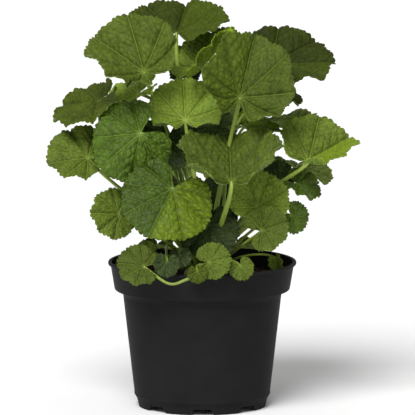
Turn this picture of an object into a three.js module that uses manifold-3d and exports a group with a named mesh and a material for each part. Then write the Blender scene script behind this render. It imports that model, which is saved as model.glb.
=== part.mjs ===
// Potted hollyhock: a young Alcea plant in a round black nursery pot.
// Millimetres, +Z up. The origin is on the pot's axis, at the level that its foot stands on.
// -Y is the plant's front, where the two biggest low leaves hang over the rim.

import * as THREE from 'three';
import { mergeVertices } from 'three/addons/utils/BufferGeometryUtils.js';
import Module from 'manifold-3d';

const wasm = await Module();
wasm.setup();

// ---- driving dimensions -------------------------------------------------------------------

const POT = {
  height: 147,
  lipRadius: 95,
  footRadius: 64.7,
  wall: 1.5,
  collarBottom: 119.5,
  bodyTop: 113,
  footHeight: 12.5,
  floorTop: 8.5,
  floorBottom: 6.9,
  segments: 40,
};
const NOTCH = { count: 8, bottomWidth: 27, topWidth: 18, height: 5.8 };
const DRAIN = { radius: 4.5, ring: 50, sides: 8 };

const SOIL_TOP = 134;
const GAP = 0.35;

const CROWN = { x: 3, y: 0, radius: 21, height: 15 };
const STALK = { sides: 5, steps: 7, base: 1.0, perRadius: 1.3 / 60, under: 1.2 };

const BLADE = {
  thickness: 1.3,
  sinus: THREE.MathUtils.degToRad(22),   // half the open angle where the stalk joins
  lobe: THREE.MathUtils.degToRad(38),    // angle from one lobe to the next
  rings: [0.5, 1],
};

// ---- leaves -------------------------------------------------------------------------------
// at: where the veins meet the stalk. tip: from there to the leaf's tip. face: the way the
// upper side looks. size: from the stalk to the tip. fold: how far the left and right halves
// lift, and bend: how far the tip and the base lift, in degrees. Some stalks have a route of
// their own: turn moves the foot round the crown in degrees, lift and arrive say how far the
// stalk keeps its first and last direction, and via lists points that it passes.

const LEAVES = {
  top_back: { at: [-26, 40, 379], tip: [0.14, 0.96, 0.1], face: [0.03, -0.1, 0.99],
    size: 63, fold: [8, 14], bend: [14, -22], lift: 0.15, arrive: 0.12 },
  top_left: { at: [-59, -18, 341], tip: [-0.74, 0.3, 0.54], face: [-0.14, -0.66, 0.74],
    size: 64, fold: [34, 26], bend: [-8, 56], via: [[-10, 30, 210], [-40, 34, 285]] },
  far_left_dark: { at: [-104, 12, 308], tip: [-0.9, 0.03, -0.36], face: [-0.3, -0.02, 0.9],
    size: 50, fold: [-16, 14], bend: [-4, 50], turn: 45, lift: 0.15, arrive: 0.32 },
  left_edge: { at: [-64, 27, 314], tip: [-0.84, 0.02, -0.49], face: [-0.42, -0.36, 0.82],
    size: 48, fold: [14, -4], bend: [-4, 8], turn: -30, lift: 0.6, arrive: 0.32 },
  centre_upper: { at: [-17, -8, 291], tip: [-0.05, 0.62, 0.66], face: [0, -0.62, 0.78],
    size: 47, fold: [6, 6], bend: [10, 70], turn: 45, lift: 0.6, arrive: 0.12 },
  left_glossy: { at: [-62, -42, 282], tip: [-0.76, -0.15, -0.57], face: [-0.05, -0.88, 0.46],
    size: 54, fold: [-38, -16], bend: [-14, -34], turn: -30 },
  far_left_round: { at: [-115, -10, 253], tip: [-0.88, 0.25, 0.34], face: [-0.16, -0.62, 0.76],
    size: 42.5, fold: [6, 0], bend: [-8, 24] },
  low_left_kidney: { at: [-84, -34, 200], tip: [-0.7, -0.55, 0.12], face: [-0.55, -0.8, 0.2],
    size: 31, fold: [-4, -4], bend: [-14, -10] },
  front_droop: { at: [-30, -69, 230], tip: [-0.42, -0.58, -0.7], face: [0.02, -0.74, 0.66],
    size: 57, fold: [-30, -10], bend: [-10, -10], turn: 45, lift: 0.5 },
  butterfly: { at: [29, -63, 237], tip: [-0.02, 0.86, 0.36], face: [0, -0.42, 0.9],
    size: 74, fold: [31, 33], bend: [4, 36] },
  right_upper: { at: [38, -20, 316], tip: [0.22, 0.22, 0.95], face: [0.02, -0.94, 0.28],
    size: 66, fold: [40, 18], bend: [-8, 52], turn: -30 },
  top_fold: { at: [0, 14, 342], tip: [0.62, 0.35, 0.66], face: [-0.48, -0.1, 0.86],
    size: 52, fold: [26, 26], bend: [-4, 20], via: [[8, 34, 235], [5, 36, 300]] },
  top_right_dark: { at: [70, 42, 339], tip: [0.95, 0.05, 0.14], face: [-0.05, -0.36, 0.92],
    size: 64, fold: [14, 4], bend: [-8, 0], turn: 45, lift: 0.5, arrive: 0.32 },
  behind_tip: { at: [82, 22, 316], tip: [0.7, 0.2, -0.45], face: [0.5, -0.3, 0.8],
    size: 22, fold: [4, 4], bend: [0, 0], turn: -45, lift: 0.6, arrive: 0.42 },
  right_big: { at: [107, -14, 251], tip: [0.7, 0.56, 0.32], face: [0.02, -0.44, 0.9],
    size: 56, fold: [28, 26], bend: [0, 50], turn: 30, lift: 0.6, arrive: 0.12 },
  right_below: { at: [95, -2, 226], tip: [0.88, -0.1, -0.4], face: [0.35, -0.5, 0.8],
    size: 26, fold: [8, 8], bend: [-10, 0] },
  right_middle: { at: [55, -34, 207], tip: [0.3, 0.3, 0.82], face: [0.06, -0.86, 0.46],
    size: 37, fold: [6, 6], bend: [-14, 30] },
  right_front: { at: [60, -54, 186], tip: [0.85, -0.2, 0.35], face: [0.05, -0.92, 0.4],
    size: 28, fold: [10, 4], bend: [-8, 10], lift: 0.15, arrive: 0.12 },
  right_dark: { at: [89, -16, 196], tip: [0.55, 0.1, -0.6], face: [0.3, -0.9, 0.3],
    size: 20, fold: [0, 0], bend: [-4, 0] },
  rim_kidney: { at: [7, -99, 161], tip: [0.92, 0, 0.25], face: [0, -0.97, 0.24],
    size: 22, fold: [0, 0], bend: [-6, 0], turn: -15, lift: 0.15, arrive: 0.42 },
  rim_right: { at: [38, -92, 156], tip: [0.35, -0.3, -0.8], face: [0, -0.92, 0.38],
    size: 15, fold: [0, 0], bend: [-8, 0], lift: 0.25 },
  rim_left: { at: [-58, -96, 156], tip: [-0.85, -0.05, 0.16], face: [0.05, -0.8, 0.6],
    size: 27, fold: [0, 0], bend: [-8, 0], via: [[-2, -74, 154], [-3, -96, 151], [-18, -103, 143], [-34, -102, 140]] },
  rim_small: { at: [-5, -103, 152], tip: [0.1, -0.2, -0.9], face: [0, -0.9, 0.3],
    size: 12, fold: [4, 4], bend: [0, 0], turn: -15, lift: 0.15, arrive: 0.12 },
  rim_round: { at: [-22, -76, 164], tip: [0.1, -0.5, -0.8], face: [0, -0.88, 0.45],
    size: 14, fold: [4, 4], bend: [-8, 0], turn: -30, arrive: 0.32 },
  rim_grey: { at: [-35, -93, 160], tip: [-0.1, -0.4, -0.9], face: [-0.05, -0.9, 0.4],
    size: 16, fold: [8, 8], bend: [-6, 0], turn: -60, lift: 0.6, arrive: 0.12 },
  young: { at: [-53, -50, 166], tip: [-0.3, 0.1, 0.9], face: [0.1, -0.9, 0.2],
    size: 9, fold: [10, 10], bend: [0, 0] },
  low_dark: { at: [5, -42, 190], tip: [0.1, -0.62, -0.75], face: [0.05, -0.8, 0.55],
    size: 38, fold: [-10, -10], bend: [-14, 10] },
  inner_dark: { at: [6, 20, 282], tip: [0.05, -0.45, -0.8], face: [0, -0.86, 0.45],
    size: 34, fold: [6, 6], bend: [-8, 0] },
  edge_right: { at: [43, 16, 282], tip: [0.96, -0.1, -0.1], face: [0, -0.3, 0.95],
    size: 35, fold: [-4, 14], bend: [-6, -10] },
  top_inner: { at: [-18, 46, 329], tip: [0.1, 0.5, 0.6], face: [0, -0.8, 0.6],
    size: 20, fold: [6, 6], bend: [0, 10] },
  rim_tiny: { at: [74, -34, 153], tip: [0.3, -0.1, -0.85], face: [-0.25, -0.9, 0.2],
    size: 12, fold: [40, 40], bend: [0, 0] },
  right_dip: { at: [78, 12, 228], tip: [-0.2, 0.5, 0.75], face: [0.1, -0.8, 0.5],
    size: 20, fold: [6, 6], bend: [0, 0] },
  inner_left: { at: [-35, 24, 269], tip: [-0.1, -0.5, -0.75], face: [-0.1, -0.75, 0.6],
    size: 38, fold: [0, 0], bend: [-8, 0] },
  inner_low_left: { at: [-22, -10, 221], tip: [-0.1, -0.6, -0.75], face: [-0.05, -0.8, 0.5],
    size: 32, fold: [0, 0], bend: [-8, 0] },
  inner_low_right: { at: [23, 16, 217], tip: [0.3, -0.55, -0.75], face: [0.1, -0.8, 0.5],
    size: 33, fold: [0, 0], bend: [-8, 0] },
  back_left_high: { at: [-50, 54, 292], tip: [-0.45, 0.85, -0.15], face: [-0.15, 0.25, 0.93],
    size: 54, fold: [10, 10], bend: [-14, -10] },
  back_high: { at: [22, 61, 302], tip: [0.1, 0.95, -0.22], face: [0, 0.35, 0.92],
    size: 57, fold: [12, 8], bend: [-16, -10] },
  back_right_high: { at: [72, 49, 282], tip: [0.62, 0.75, -0.18], face: [0.15, 0.25, 0.93],
    size: 50, fold: [8, 12], bend: [-14, -10] },
  back_left: { at: [-82, 36, 246], tip: [-0.78, 0.55, -0.25], face: [-0.25, 0.3, 0.9],
    size: 45, fold: [8, 8], bend: [-16, -10] },
  back_mid_left: { at: [-24, 72, 238], tip: [-0.15, 0.92, -0.38], face: [-0.05, 0.5, 0.85],
    size: 48, fold: [8, 10], bend: [-14, -10] },
  back_mid_right: { at: [36, 73, 222], tip: [0.25, 0.88, -0.42], face: [0.05, 0.5, 0.85],
    size: 46, fold: [10, 8], bend: [-16, -10] },
  back_right: { at: [94, 45, 236], tip: [0.85, 0.45, -0.3], face: [0.3, 0.25, 0.9],
    size: 40, fold: [8, 8], bend: [-14, -10] },
  back_low_left: { at: [-58, 51, 192], tip: [-0.55, 0.7, -0.5], face: [-0.3, 0.55, 0.75],
    size: 38, fold: [6, 6], bend: [-16, -8] },
  back_low: { at: [4, 75, 176], tip: [0.05, 0.85, -0.55], face: [0, 0.6, 0.8],
    size: 38, fold: [6, 6], bend: [-16, -8] },
  back_low_right: { at: [58, 54, 184], tip: [0.6, 0.65, -0.5], face: [0.3, 0.55, 0.75],
    size: 34, fold: [6, 6], bend: [-16, -8] },
  back_rim_left: { at: [-46, 80, 152], tip: [-0.35, 0.75, -0.55], face: [-0.25, 0.6, 0.75],
    size: 23, fold: [4, 4], bend: [-12, -8] },
  back_rim_right: { at: [34, 88, 151], tip: [0.25, 0.8, -0.55], face: [0.15, 0.65, 0.75],
    size: 25, fold: [4, 4], bend: [-12, -8] },
};

// ---- helpers ------------------------------------------------------------------------------

const vec = (list) => new THREE.Vector3(...list);

// A closed three.js geometry as a manifold solid.
function solid(geometry) {
  geometry.deleteAttribute('normal');
  geometry.deleteAttribute('uv');
  const merged = mergeVertices(geometry, 1e-4);
  const vertProperties = new Float32Array(merged.attributes.position.array);
  const triVerts = new Uint32Array(merged.index.array);
  return new wasm.Manifold(new wasm.Mesh({ numProp: 3, vertProperties, triVerts }));
}

// A manifold solid as a three.js geometry.
function geometryOf(body) {
  const mesh = body.getMesh();
  const geometry = new THREE.BufferGeometry();
  geometry.setAttribute('position', new THREE.BufferAttribute(mesh.vertProperties, 3));
  geometry.setIndex(new THREE.BufferAttribute(mesh.triVerts, 1));
  geometry.computeVertexNormals();
  return geometry;
}

// The biggest of a solid's separate pieces.
function largest(body) {
  return body.decompose().reduce((a, b) => (b.volume() > a.volume() ? b : a));
}

// A profile of [radius, height] points, turned about the Z axis.
function turned(profile, segments) {
  const points = profile.map(([radius, height]) => new THREE.Vector2(radius, height));
  return new THREE.LatheGeometry(points, segments).rotateX(Math.PI / 2);
}

// ---- pot ----------------------------------------------------------------------------------

function potOutside() {
  return [
    [POT.footRadius, 0],
    [POT.footRadius + 1.1, 7],
    [POT.footRadius + 3.9, POT.footHeight],
    [79.9, POT.bodyTop],
    [81.6, POT.bodyTop + 3.4],
    [85, POT.bodyTop + 5.4],
    [88.2, POT.collarBottom],
    [89.2, POT.collarBottom + 1.5],
    [POT.lipRadius - 2.8, POT.height - 4.4],
    [POT.lipRadius - 0.7, POT.height - 3.8],
    [POT.lipRadius, POT.height - 2],
    [POT.lipRadius - 0.8, POT.height - 0.3],
    [POT.lipRadius - 2.2, POT.height],
  ];
}

function potInside() {
  const wall = POT.wall;
  return [
    [POT.lipRadius - 4, POT.height - 0.8],
    [POT.lipRadius - 2.8 - wall, POT.height - 4.4],
    [89.2 - wall, POT.collarBottom + 1.5],
    [83.6, POT.collarBottom],
    [79.9 - wall, POT.bodyTop + 1.5],
    [POT.footRadius + 3.9 - wall, POT.footHeight + 1],
    [POT.footRadius - 0.8, POT.floorTop],
  ];
}

function potGeometry() {
  const underside = [
    [0, POT.floorBottom],
    [POT.footRadius - 2, POT.floorBottom],
    [POT.footRadius - 1.6, 0],
  ];
  const profile = [...underside, ...potOutside(), ...potInside(), [0, POT.floorTop]];
  let body = solid(turned(profile, POT.segments));

  const notch = new THREE.Shape([
    new THREE.Vector2(-NOTCH.bottomWidth / 2, -1),
    new THREE.Vector2(NOTCH.bottomWidth / 2, -1),
    new THREE.Vector2(NOTCH.topWidth / 2 + 1, NOTCH.height * 0.6),
    new THREE.Vector2(NOTCH.topWidth / 2, NOTCH.height),
    new THREE.Vector2(-NOTCH.topWidth / 2, NOTCH.height),
    new THREE.Vector2(-NOTCH.topWidth / 2 - 1, NOTCH.height * 0.6),
  ]);
  for (let i = 0; i < NOTCH.count; i += 1) {
    const angle = (i * 2 * Math.PI) / NOTCH.count;
    const cut = new THREE.ExtrudeGeometry(notch, { depth: 16, bevelEnabled: false });
    cut.rotateX(Math.PI / 2).translate(0, 8 - POT.footRadius, 0).rotateZ(angle);
    body = body.subtract(solid(cut));
    const drain = new THREE.CylinderGeometry(DRAIN.radius, DRAIN.radius, 8, DRAIN.sides);
    drain.rotateX(Math.PI / 2).translate(0, -DRAIN.ring, POT.floorTop - 1).rotateZ(angle);
    body = body.subtract(solid(drain));
  }
  return geometryOf(body);
}

// ---- potting soil -------------------------------------------------------------------------

function soilGeometry() {
  const wall = POT.wall + GAP;
  const bodySlope = (79.9 - (POT.footRadius + 3.9)) / (POT.bodyTop - POT.footHeight);
  const atCollar = 89.2 - wall + (SOIL_TOP - POT.collarBottom) * 0.12;
  return turned([
    [0, POT.floorTop + GAP],
    [POT.footRadius - 1.6, POT.floorTop + GAP],
    [POT.footRadius + 3.5 - wall, POT.footHeight + 2],
    [79.9 - wall - bodySlope, POT.bodyTop],
    [77.9, POT.bodyTop + 2],
    [83, POT.collarBottom + GAP + 0.6],
    [88.6 - wall, POT.collarBottom + 3],
    [atCollar - 0.3, SOIL_TOP - 3],
    [atCollar - 6, SOIL_TOP - 1],
    [CROWN.radius + 12, SOIL_TOP],
    [0, SOIL_TOP],
  ], 36);
}

// ---- leaf blades --------------------------------------------------------------------------

// Distance from the stalk to the edge at an angle from the tip, as a share of the leaf's size:
// a round leaf with shallow lobes, a heart-shaped base and rounded basal lobes.
function outline(angle) {
  const round = 1 - 0.34 * Math.sin(angle / 2) ** 2;
  const lobes = 0.94 + 0.06 * Math.abs(Math.cos((Math.PI * angle) / BLADE.lobe)) ** 0.8;
  const toSinus = Math.PI - BLADE.sinus - Math.abs(angle);
  const near = THREE.MathUtils.clamp(toSinus / THREE.MathUtils.degToRad(30), 0, 1);
  const corner = 0.3 + 0.7 * Math.sqrt(1 - (1 - near) ** 2);
  return round * lobes * corner;
}

function axesOf(leaf) {
  const tip = vec(leaf.tip).normalize();
  const face = vec(leaf.face);
  face.addScaledVector(tip, -face.dot(tip)).normalize();
  const left = new THREE.Vector3().crossVectors(face, tip);
  return { tip, left, face };
}

// A number from 0 to 6.2 that makes each leaf's ruffle its own.
function ruffleSeed(name) {
  let sum = 0;
  for (const letter of name) sum += letter.charCodeAt(0);
  return (sum % 63) / 10;
}

// The point of the blade's middle surface that lies at x towards the tip and y to the left of
// the stalk when the leaf is pressed flat.
function bladePoint(leaf, axes, seed, x, y) {
  const { size } = leaf;
  const rad = THREE.MathUtils.degToRad;
  const side = y >= 0 ? 1 : -1;
  const span = Math.abs(y);
  const lift = (rad(side > 0 ? leaf.fold[0] : leaf.fold[1]) * span * 1.12) / (span + 0.12 * size);
  const across = side * span * Math.cos(lift);
  const reach = Math.hypot(x, y) / size;
  const angle = Math.atan2(y, x);
  let up = span * Math.sin(lift);
  up += 0.04 * size * reach ** 2 * Math.cos(4 * angle + seed * 1.7);
  up += 0.02 * size * reach ** 3 * Math.cos(9.47 * angle + seed);
  const bend = (rad(x >= 0 ? leaf.bend[0] : leaf.bend[1]) * Math.abs(x)) / size;
  const end = x >= 0 ? 1 : -1;
  return vec(leaf.at)
    .addScaledVector(axes.tip, x * Math.cos(bend) - end * up * Math.sin(2 * bend))
    .addScaledVector(axes.left, across)
    .addScaledVector(axes.face, Math.abs(x) * Math.sin(bend) + up * Math.cos(2 * bend));
}

function bladeGeometry(leaf, seed) {
  const axes = axesOf(leaf);
  const end = Math.PI - BLADE.sinus;
  const half = BLADE.lobe / 2;
  const turns = Math.floor(end / half);
  const angles = [-end];
  for (let k = -turns; k <= turns; k += 1) angles.push(k * half);
  angles.push(end);

  const middle = [[0, 0]];
  for (const ring of BLADE.rings) {
    for (const angle of angles) {
      const reach = outline(angle) * ring * leaf.size;
      middle.push([reach * Math.cos(angle), reach * Math.sin(angle)]);
    }
  }
  const at = (x, y) => bladePoint(leaf, axes, seed, x, y);
  const points = [];
  for (const side of [0.5, -0.5]) {
    for (const [x, y] of middle) {
      const here = at(x, y);
      const step = 0.02 * leaf.size;
      const alongX = at(x + step, y).sub(at(x - step, y));
      const alongY = at(x, y + step).sub(at(x, y - step));
      const normal = alongX.cross(alongY).normalize();
      points.push(...here.addScaledVector(normal, side * BLADE.thickness).toArray());
    }
  }

  const count = angles.length;
  const total = middle.length;
  const faces = [];
  const top = (a, b, c) => faces.push(a, b, c);
  const both = (a, b, c) => {
    top(a, b, c);
    faces.push(a + total, c + total, b + total);
  };
  for (let i = 0; i < count - 1; i += 1) {
    both(0, 1 + i, 2 + i);
    for (let ring = 1; ring < BLADE.rings.length; ring += 1) {
      const inner = 1 + (ring - 1) * count + i;
      const outer = inner + count;
      both(inner, outer, outer + 1);
      both(inner, outer + 1, inner + 1);
    }
  }
  // the edge: out along one side of the sinus, round the leaf, back along the other side
  const edge = [0];
  const last = BLADE.rings.length - 1;
  for (let ring = 0; ring < last; ring += 1) edge.push(1 + ring * count);
  for (let i = 0; i < count; i += 1) edge.push(1 + last * count + i);
  for (let ring = last - 1; ring >= 0; ring -= 1) edge.push(ring * count + count);
  edge.forEach((a, i) => {
    const b = edge[(i + 1) % edge.length];
    faces.push(a, a + total, b + total, a, b + total, b);
  });

  const geometry = new THREE.BufferGeometry();
  geometry.setAttribute('position', new THREE.Float32BufferAttribute(points, 3));
  geometry.setIndex(faces);
  geometry.computeVertexNormals();
  return geometry;
}

// ---- crown and leaf stalks ----------------------------------------------------------------

function stalkPath(leaf) {
  const axes = axesOf(leaf);
  const foot = new THREE.Vector3(CROWN.x, CROWN.y, SOIL_TOP);
  const end = vec(leaf.at);
  const away = Math.hypot(end.x - foot.x, end.y - foot.y);
  const lean = Math.atan2(away, end.z - foot.z);
  const turn = THREE.MathUtils.degToRad(leaf.turn ?? 0);
  const angle = Math.atan2(end.y - foot.y, end.x - foot.x) + turn;
  const ring = 5 + 12 * Math.min(1, lean / 1.3);
  const out = new THREE.Vector3(Math.cos(angle), Math.sin(angle), 0);
  const start = foot.clone().addScaledVector(out, ring);
  start.z += 4 + 8 * (1 - ring / 20);
  const under = axes.face.clone().multiplyScalar(-(BLADE.thickness / 2 + GAP + STALK.under));
  end.add(under);
  if (leaf.via) return new THREE.CatmullRomCurve3([start, ...leaf.via.map(vec), end]);
  const span = start.distanceTo(end);
  const rise = out.clone().multiplyScalar(0.66 * Math.sin(lean));
  rise.z = 1;
  rise.normalize();
  const arrive = axes.face.clone().multiplyScalar(0.8).addScaledVector(axes.tip, 0.6).normalize();
  return new THREE.CubicBezierCurve3(
    start,
    start.clone().addScaledVector(rise, span * (leaf.lift ?? 0.35)),
    end.clone().addScaledVector(arrive, -span * (leaf.arrive ?? 0.22)),
    end,
  );
}

function stalkSolid(leaf, extra = 0) {
  const radius = STALK.base + leaf.size * STALK.perRadius + extra;
  const ring = [];
  for (let i = 0; i < STALK.sides; i += 1) {
    const angle = (i * 2 * Math.PI) / STALK.sides;
    ring.push(new THREE.Vector2(radius * Math.cos(angle), radius * Math.sin(angle)));
  }
  const tube = new THREE.ExtrudeGeometry(new THREE.Shape(ring), {
    steps: leaf.via ? STALK.steps * 2 : STALK.steps,
    extrudePath: stalkPath(leaf),
  });
  return solid(tube);
}

function crownGeometry() {
  const dome = turned([
    [0, SOIL_TOP + GAP],
    [CROWN.radius, SOIL_TOP + GAP],
    [CROWN.radius, SOIL_TOP + GAP + 2],
    [CROWN.radius * 0.8, SOIL_TOP + CROWN.height * 0.6],
    [CROWN.radius * 0.4, SOIL_TOP + CROWN.height * 0.95],
    [0, SOIL_TOP + CROWN.height],
  ], 16).translate(CROWN.x, CROWN.y, 0);
  let body = solid(dome);
  for (const leaf of Object.values(LEAVES)) body = body.add(stalkSolid(leaf));
  return geometryOf(largest(body));
}

// ---- the potted plant ---------------------------------------------------------------------

function part(name, geometry, color, roughness) {
  const mesh = new THREE.Mesh(
    geometry,
    new THREE.MeshStandardMaterial({ color, roughness, metalness: 0 }),
  );
  mesh.name = name;
  return mesh;
}

const pottedPlant = new THREE.Group();
pottedPlant.add(part('pot', potGeometry(), 0x1d1d1f, 0.55));
pottedPlant.add(part('potting_soil', soilGeometry(), 0x2a1712, 0.95));
pottedPlant.add(part('crown_and_stalks', crownGeometry(), 0x86a83c, 0.5));

// A blade that a stalk passes through is notched round it, and only its main piece is kept.
const leaves = new THREE.Group();
for (const [name, leaf] of Object.entries(LEAVES)) {
  let blade = solid(bladeGeometry(leaf, ruffleSeed(name)));
  for (const other of Object.values(LEAVES)) {
    const notched = blade.subtract(stalkSolid(other, GAP));
    if (notched.volume() < blade.volume() - 0.01) blade = largest(notched);
  }
  leaves.add(part(`leaf_${name}`, geometryOf(blade), 0x4f7a2e, 0.5));
}
pottedPlant.add(leaves);

export default pottedPlant;
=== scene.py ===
# %% [markdown]
# # A potted hollyhock
# A young hollyhock in a black nursery pot. Its leaves all rise on long stalks from one crown at
# the soil. The lesson builds the pot by turning a profile, the soil with scattered crumbs, the
# stalks by sweeping a circle along paths, and the leaves from one formula that gives each leaf
# its outline, its fold and its quilted surface.

# %% Load the frame
import math

import bpy
import numpy as np
from mathutils import Matrix, Vector


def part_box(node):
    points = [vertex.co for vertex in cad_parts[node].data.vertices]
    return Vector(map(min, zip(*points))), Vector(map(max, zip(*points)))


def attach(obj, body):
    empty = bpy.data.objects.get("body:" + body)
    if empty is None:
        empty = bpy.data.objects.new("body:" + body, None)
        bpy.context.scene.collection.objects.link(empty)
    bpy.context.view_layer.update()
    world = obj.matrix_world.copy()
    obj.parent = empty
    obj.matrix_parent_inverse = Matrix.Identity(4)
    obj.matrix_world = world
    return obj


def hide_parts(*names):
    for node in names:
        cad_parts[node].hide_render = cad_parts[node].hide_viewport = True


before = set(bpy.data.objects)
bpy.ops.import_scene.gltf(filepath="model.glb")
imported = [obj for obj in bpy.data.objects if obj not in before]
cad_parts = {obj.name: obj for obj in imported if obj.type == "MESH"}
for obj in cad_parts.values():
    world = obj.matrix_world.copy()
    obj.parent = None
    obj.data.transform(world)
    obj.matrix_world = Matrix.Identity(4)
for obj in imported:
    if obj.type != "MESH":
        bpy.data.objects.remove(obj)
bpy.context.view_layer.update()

MM = 0.001

# %% [markdown]
# ## Small tools
# Colours are written as the hex values that a painter would pick on a screen, and one function
# turns them to the linear values that light works in. Another adds a node, sets it up and links
# it, so that a material or a Geometry Nodes tree reads as a short list.


# %% Colour and node tools
def linear(hex_colour):
    """An sRGB hex colour as linear red, green, blue and alpha."""
    values = [int(hex_colour[i:i + 2], 16) / 255 for i in (1, 3, 5)]
    curve = [v / 12.92 if v <= 0.04045 else ((v + 0.055) / 1.055) ** 2.4 for v in values]
    return (*curve, 1.0)


def add(tree, kind, settings=None, **inputs):
    """Adds a node to a tree. A socket in inputs is linked, and any other value is set."""
    node = tree.nodes.new(kind)
    for key, value in (settings or {}).items():
        setattr(node, key, value)
    for key, value in inputs.items():
        name = key.replace("_", " ")
        sockets = node.inputs
        socket = sockets[int(key[2:])] if key.startswith("in") and key[2:].isdigit() else sockets[name]
        if isinstance(value, bpy.types.NodeSocket):
            tree.links.new(value, socket)
        else:
            socket.default_value = value
    return node


def new_material(name, **constants):
    """A material with a Principled shader, whose plain values are set on its own sockets."""
    material = bpy.data.materials.new(name)
    material.use_nodes = True
    shader = material.node_tree.nodes["Principled BSDF"]
    for key, value in constants.items():
        shader.inputs[key.replace("_", " ")].default_value = value
    return material, material.node_tree, shader


def mesh_object(name, points, triangles):
    """An object from an array of points in millimetres and an array of corner numbers."""
    mesh = bpy.data.meshes.new(name)
    mesh.vertices.add(len(points))
    mesh.vertices.foreach_set("co", (points * MM).astype(np.float32).ravel())
    mesh.loops.add(triangles.size)
    mesh.loops.foreach_set("vertex_index", triangles.astype(np.int32).ravel())
    mesh.polygons.add(len(triangles))
    mesh.polygons.foreach_set("loop_start", np.arange(len(triangles), dtype=np.int32) * 3)
    mesh.update(calc_edges=True)
    mesh.shade_smooth()
    made = bpy.data.objects.new(name, mesh)
    bpy.context.collection.objects.link(made)
    return made


# %% [markdown]
# ## Camera, floor and light
# The camera looks along +Y from far away with a long lens, eight degrees above the horizon, so
# the pot's rim shows as a thin ellipse. The light is a soft studio: one broad sun lamp, like a
# window, from the upper left in front, and a white surrounding that fills the shadows. It is
# brightest near the horizon, so that the floor runs into it without a visible edge.

# %% Camera
VIEW_WIDTH = 0.4183
VIEW_TILT = math.radians(8.3)
VIEW_AIM = Vector((0.0053, 0, 0.2014))
LENS = 600
SENSOR = 36

camera = bpy.data.objects.new("camera", bpy.data.cameras.new("camera"))
camera.data.lens = LENS
camera.data.sensor_width = SENSOR
camera.data.clip_end = 60
view_distance = VIEW_WIDTH * LENS / SENSOR
view_back = Vector((0, -math.cos(VIEW_TILT), math.sin(VIEW_TILT)))
camera.location = VIEW_AIM + view_back * view_distance
camera.rotation_euler = (math.pi / 2 - VIEW_TILT, 0, 0)
bpy.context.collection.objects.link(camera)
bpy.context.scene.camera = camera
bpy.context.scene.view_settings.view_transform = "Standard"
print("camera distance in metres:", round(view_distance, 2))

# %% Floor and lights
SUN_STRENGTH = 3.1
SUN_SPREAD = 32
SUN_FROM = Vector((-0.3, -0.85, 1.05))
SKY_LOW, SKY_HIGH = 0.06, 0.4
SKY_BRIGHT, SKY_DIM = 1.0, 0.38
FLOOR_HALF = 9000

sun = bpy.data.lights.new("window_light", "SUN")
sun.energy = SUN_STRENGTH
sun.angle = math.radians(SUN_SPREAD)
sun_object = bpy.data.objects.new("window_light", sun)
sun_object.rotation_euler = SUN_FROM.to_track_quat("Z", "Y").to_euler()
bpy.context.collection.objects.link(sun_object)

world = bpy.data.worlds.new("studio")
world.use_nodes = True
backdrop = world.node_tree.nodes["Background"]
backdrop.inputs["Color"].default_value = linear("#ffffff")
direction = add(world.node_tree, "ShaderNodeTexCoord").outputs["Generated"]
height_up = add(world.node_tree, "ShaderNodeSeparateXYZ", Vector=direction).outputs["Z"]
wall_light = add(
    world.node_tree, "ShaderNodeMapRange", Value=height_up,
    From_Min=SKY_LOW, From_Max=SKY_HIGH, To_Min=SKY_BRIGHT, To_Max=SKY_DIM,
)
world.node_tree.links.new(wall_light.outputs[0], backdrop.inputs["Strength"])
bpy.context.scene.world = world

floor_corners = FLOOR_HALF * np.array([(-1, -1, 0), (1, -1, 0), (1, 1, 0), (-1, 1, 0)], float)
floor = mesh_object("floor", floor_corners, np.array([(0, 1, 2), (0, 2, 3)]))
floor_material, _, _ = new_material("matt_white_paint", Base_Color=linear("#f7f7f7"), Roughness=0.9)
floor.data.materials.append(floor_material)
print("floor side in metres:", 2 * FLOOR_HALF * MM)

# %% [markdown]
# ## The pot
# A nursery pot is moulded from black polypropylene in one thin wall: a body that tapers so that
# pots stack, a wider collar that makes it stiff, a beaded lip, and a foot ring with notches that
# let water away. It is a round thing, so a profile is turned about the axis. Each corner of the
# profile is rounded with an arc, because a mould has no sharp corners.

# %% Pot profile
pot_low, pot_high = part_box("pot")
POT_HEIGHT = pot_high[2] / MM
LIP = pot_high[0] / MM
FOOT = 64.7
BODY_TOP = (79.9, 113)
COLLAR_BOTTOM = 119.5
COLLAR_RADIUS = 88.4
WALL = 1.5
FLOOR_TOP = 8.5
FLOOR_UNDER = 6.9
POT_TURNS = 192
print("pot height and lip radius in mm:", round(POT_HEIGHT, 1), round(LIP, 1))

# radius, height, and the radius that the corner is rounded with
POT_PROFILE = [
    (0, FLOOR_UNDER, 0),
    (FOOT - 2, FLOOR_UNDER, 1),
    (FOOT - 1.6, 0, 0.4),
    (FOOT, 0, 0.4),
    (FOOT + 1.1, 7, 4),
    (FOOT + 3.2, 11.2, 1.2),
    (FOOT + 4.1, 12.2, 0.5),
    (FOOT + 4.1, 13.6, 0.4),
    (FOOT + 3.9, 14.2, 0.4),
    (BODY_TOP[0], BODY_TOP[1], 6),
    (BODY_TOP[0] + 2.4, BODY_TOP[1] + 4.6, 4),
    (COLLAR_RADIUS, COLLAR_BOTTOM - 0.6, 1.6),
    (LIP - 2.4, POT_HEIGHT - 3, 0.5),
    (LIP, POT_HEIGHT - 2.8, 1),
    (LIP, POT_HEIGHT, 1.3),
    (LIP - 3.6, POT_HEIGHT, 1.2),
    (LIP - 2.4 - WALL, POT_HEIGHT - 4, 1),
    (COLLAR_RADIUS - WALL, COLLAR_BOTTOM + 1, 1.4),
    (BODY_TOP[0] + 1.2, BODY_TOP[1] + 6, 3),
    (BODY_TOP[0] - WALL, BODY_TOP[1] + 1.5, 5),
    (FOOT + 3.9 - WALL, 13.5, 2),
    (FOOT - 0.8, FLOOR_TOP, 1),
    (0, FLOOR_TOP, 0),
]
print("pot profile points:", len(POT_PROFILE))


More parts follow.
